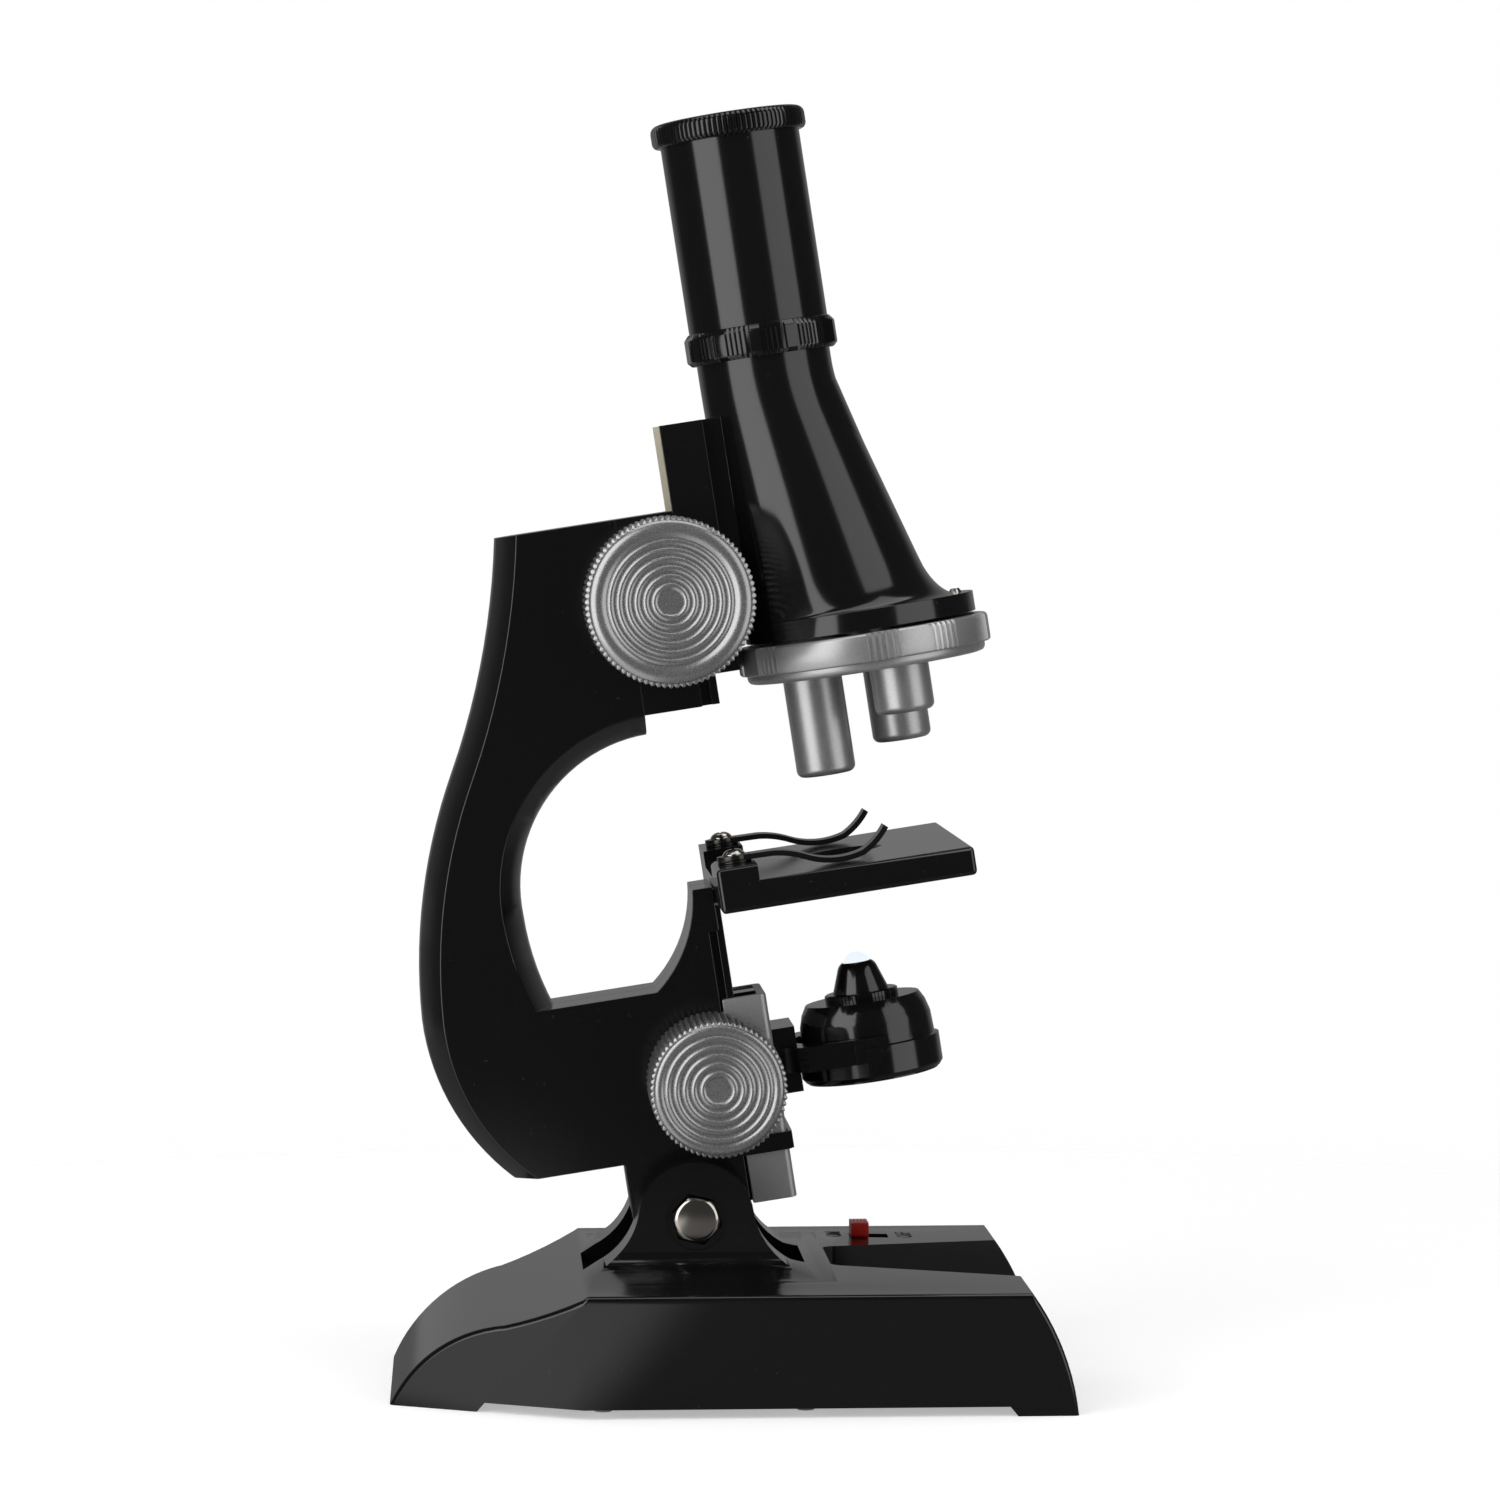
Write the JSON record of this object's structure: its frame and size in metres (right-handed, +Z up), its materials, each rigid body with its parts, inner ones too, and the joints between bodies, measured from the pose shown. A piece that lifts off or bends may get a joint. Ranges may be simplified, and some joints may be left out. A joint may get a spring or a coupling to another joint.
{
  "type": "compound microscope",
  "caption": "Student's compound microscope: tilting curved arm, rack-focused slanting tube, turret of objectives, stage with clips, LED lamp and mirror on a fork, V-shaped base.",
  "frame": {"origin": "middle of the base's footprint, on the surface it stands on", "axes": "+X from the arm towards the stage and the open front of the base, +Z up, Y across along the hinge bolt"},
  "size_m": [0.1146, 0.085, 0.2195],
  "materials": {
    "black_gloss": "moulded, glossy",
    "black_satin": "moulded, satin",
    "silver_paint": "silver paint on moulded plastic, satin",
    "nickel": "nickel plated",
    "ivory_plastic": "moulded, satin",
    "red_plastic": "moulded, glossy",
    "clear_lens": "polished",
    "white_led": "milky, glossy",
    "mirror": "polished",
    "battery_jacket": "plain jacket, satin",
    "steel": "stamped"
  },
  "bodies": {
    "base": {"base_housing": "black_gloss", "bottom_cover": "black_satin", "battery_door": "black_satin", "battery_cell_front": "battery_jacket", "battery_cell_rear": "battery_jacket", "battery_contacts": "steel", "cover_screws": "steel", "switch_body": "black_satin", "hinge_bolt": "nickel", "hinge_nut": "nickel"},
    "switch": {"switch_button": "red_plastic"},
    "arm": {"arm_near_shell": "black_gloss", "arm_far_shell": "black_gloss", "arm_screws": "steel", "focus_head": "black_gloss", "stage_plate": "black_gloss", "clip_screws": "nickel", "clip_washers": "black_gloss", "slide_strap": "black_gloss"},
    "focus_drive": {"focus_pinion_shaft": "steel", "focus_knob_near": "silver_paint", "focus_knob_far": "silver_paint"},
    "tube_carriage": {"body_tube": "black_gloss", "focus_rack": "ivory_plastic", "turret_screw": "nickel", "detent_screw": "nickel"},
    "eyepiece": {"draw_tube": "black_gloss", "tube_ring": "black_gloss", "eyepiece_cap": "black_gloss", "eyepiece_lens": "clear_lens"},
    "turret": {"turret_disc": "silver_paint", "objective_long": "silver_paint", "objective_medium": "silver_paint", "objective_short": "silver_paint", "objective_lenses": "clear_lens"},
    "clip_left": {"clip_near": "black_gloss"},
    "clip_right": {"clip_far": "black_gloss"},
    "lamp_drive": {"lamp_pinion_shaft": "steel", "lamp_knob_near": "silver_paint", "lamp_knob_far": "silver_paint"},
    "lamp_slide": {"slide_channel": "silver_paint", "lamp_rack": "black_satin", "lamp_yoke": "black_gloss"},
    "lamp": {"lamp_housing": "black_gloss", "lamp_collar": "black_gloss", "lamp_cone": "black_gloss", "led": "white_led", "mirror": "mirror", "mirror_ring": "black_gloss"}
  },
  "joints": [
    {"name": "arm_tilt", "type": "hinge", "parent": "base", "child": "arm", "pos_m": [-0.0054, 0, 0.0301], "axis": [0, 1, 0], "range_deg": [-30, 8.79]},
    {"name": "switch_slide", "type": "slide", "parent": "base", "child": "switch", "axis": [1, 0, 0], "range_m": [0, 0.0034]},
    {"name": "focus_knob_turn", "type": "hinge", "parent": "arm", "child": "focus_drive", "pos_m": [-0.01006, 0, 0.13482], "axis": [0, -1, 0], "range_deg": [-210.2, 105.1]},
    {"name": "focus_slide", "type": "slide", "parent": "arm", "child": "tube_carriage", "axis": [-0.1528, 0, 0.9883], "range_m": [-0.011, 0.0055]},
    {"name": "eyepiece_turn", "type": "hinge", "parent": "tube_carriage", "child": "eyepiece", "pos_m": [0.00664, 0, 0.17868], "axis": [-0.1528, 0, 0.9883], "continuous": true},
    {"name": "turret_spin", "type": "hinge", "parent": "tube_carriage", "child": "turret", "pos_m": [0.02438, 0, 0.12679], "axis": [-0.1528, 0, 0.9883], "continuous": true},
    {"name": "clip_left_swing", "type": "hinge", "parent": "arm", "child": "clip_left", "pos_m": [0.00085, -0.0224, 0.09178], "axis": [-0.1528, 0, 0.9883], "range_deg": [-35, 35]},
    {"name": "clip_right_swing", "type": "hinge", "parent": "arm", "child": "clip_right", "pos_m": [0.00085, 0.0224, 0.09178], "axis": [-0.1528, 0, 0.9883], "range_deg": [-35, 35]},
    {"name": "lamp_knob_turn", "type": "hinge", "parent": "arm", "child": "lamp_drive", "pos_m": [-0.00204, 0, 0.05319], "axis": [0, -1, 0], "range_deg": [-71.7, 129]},
    {"name": "lamp_slide_travel", "type": "slide", "parent": "arm", "child": "lamp_slide", "axis": [-0.1528, 0, 0.9883], "range_m": [-0.005, 0.009]},
    {"name": "lamp_flip", "type": "hinge", "parent": "lamp_slide", "child": "lamp", "pos_m": [0.02542, 0, 0.05723], "axis": [0, 1, 0], "range_deg": [-30, 180]}
  ],
  "couplings": [
    {"joint": "focus_knob_turn", "follows": "focus_slide", "rad_per_m": 333.33},
    {"joint": "lamp_knob_turn", "follows": "lamp_slide_travel", "rad_per_m": 250}
  ]
}
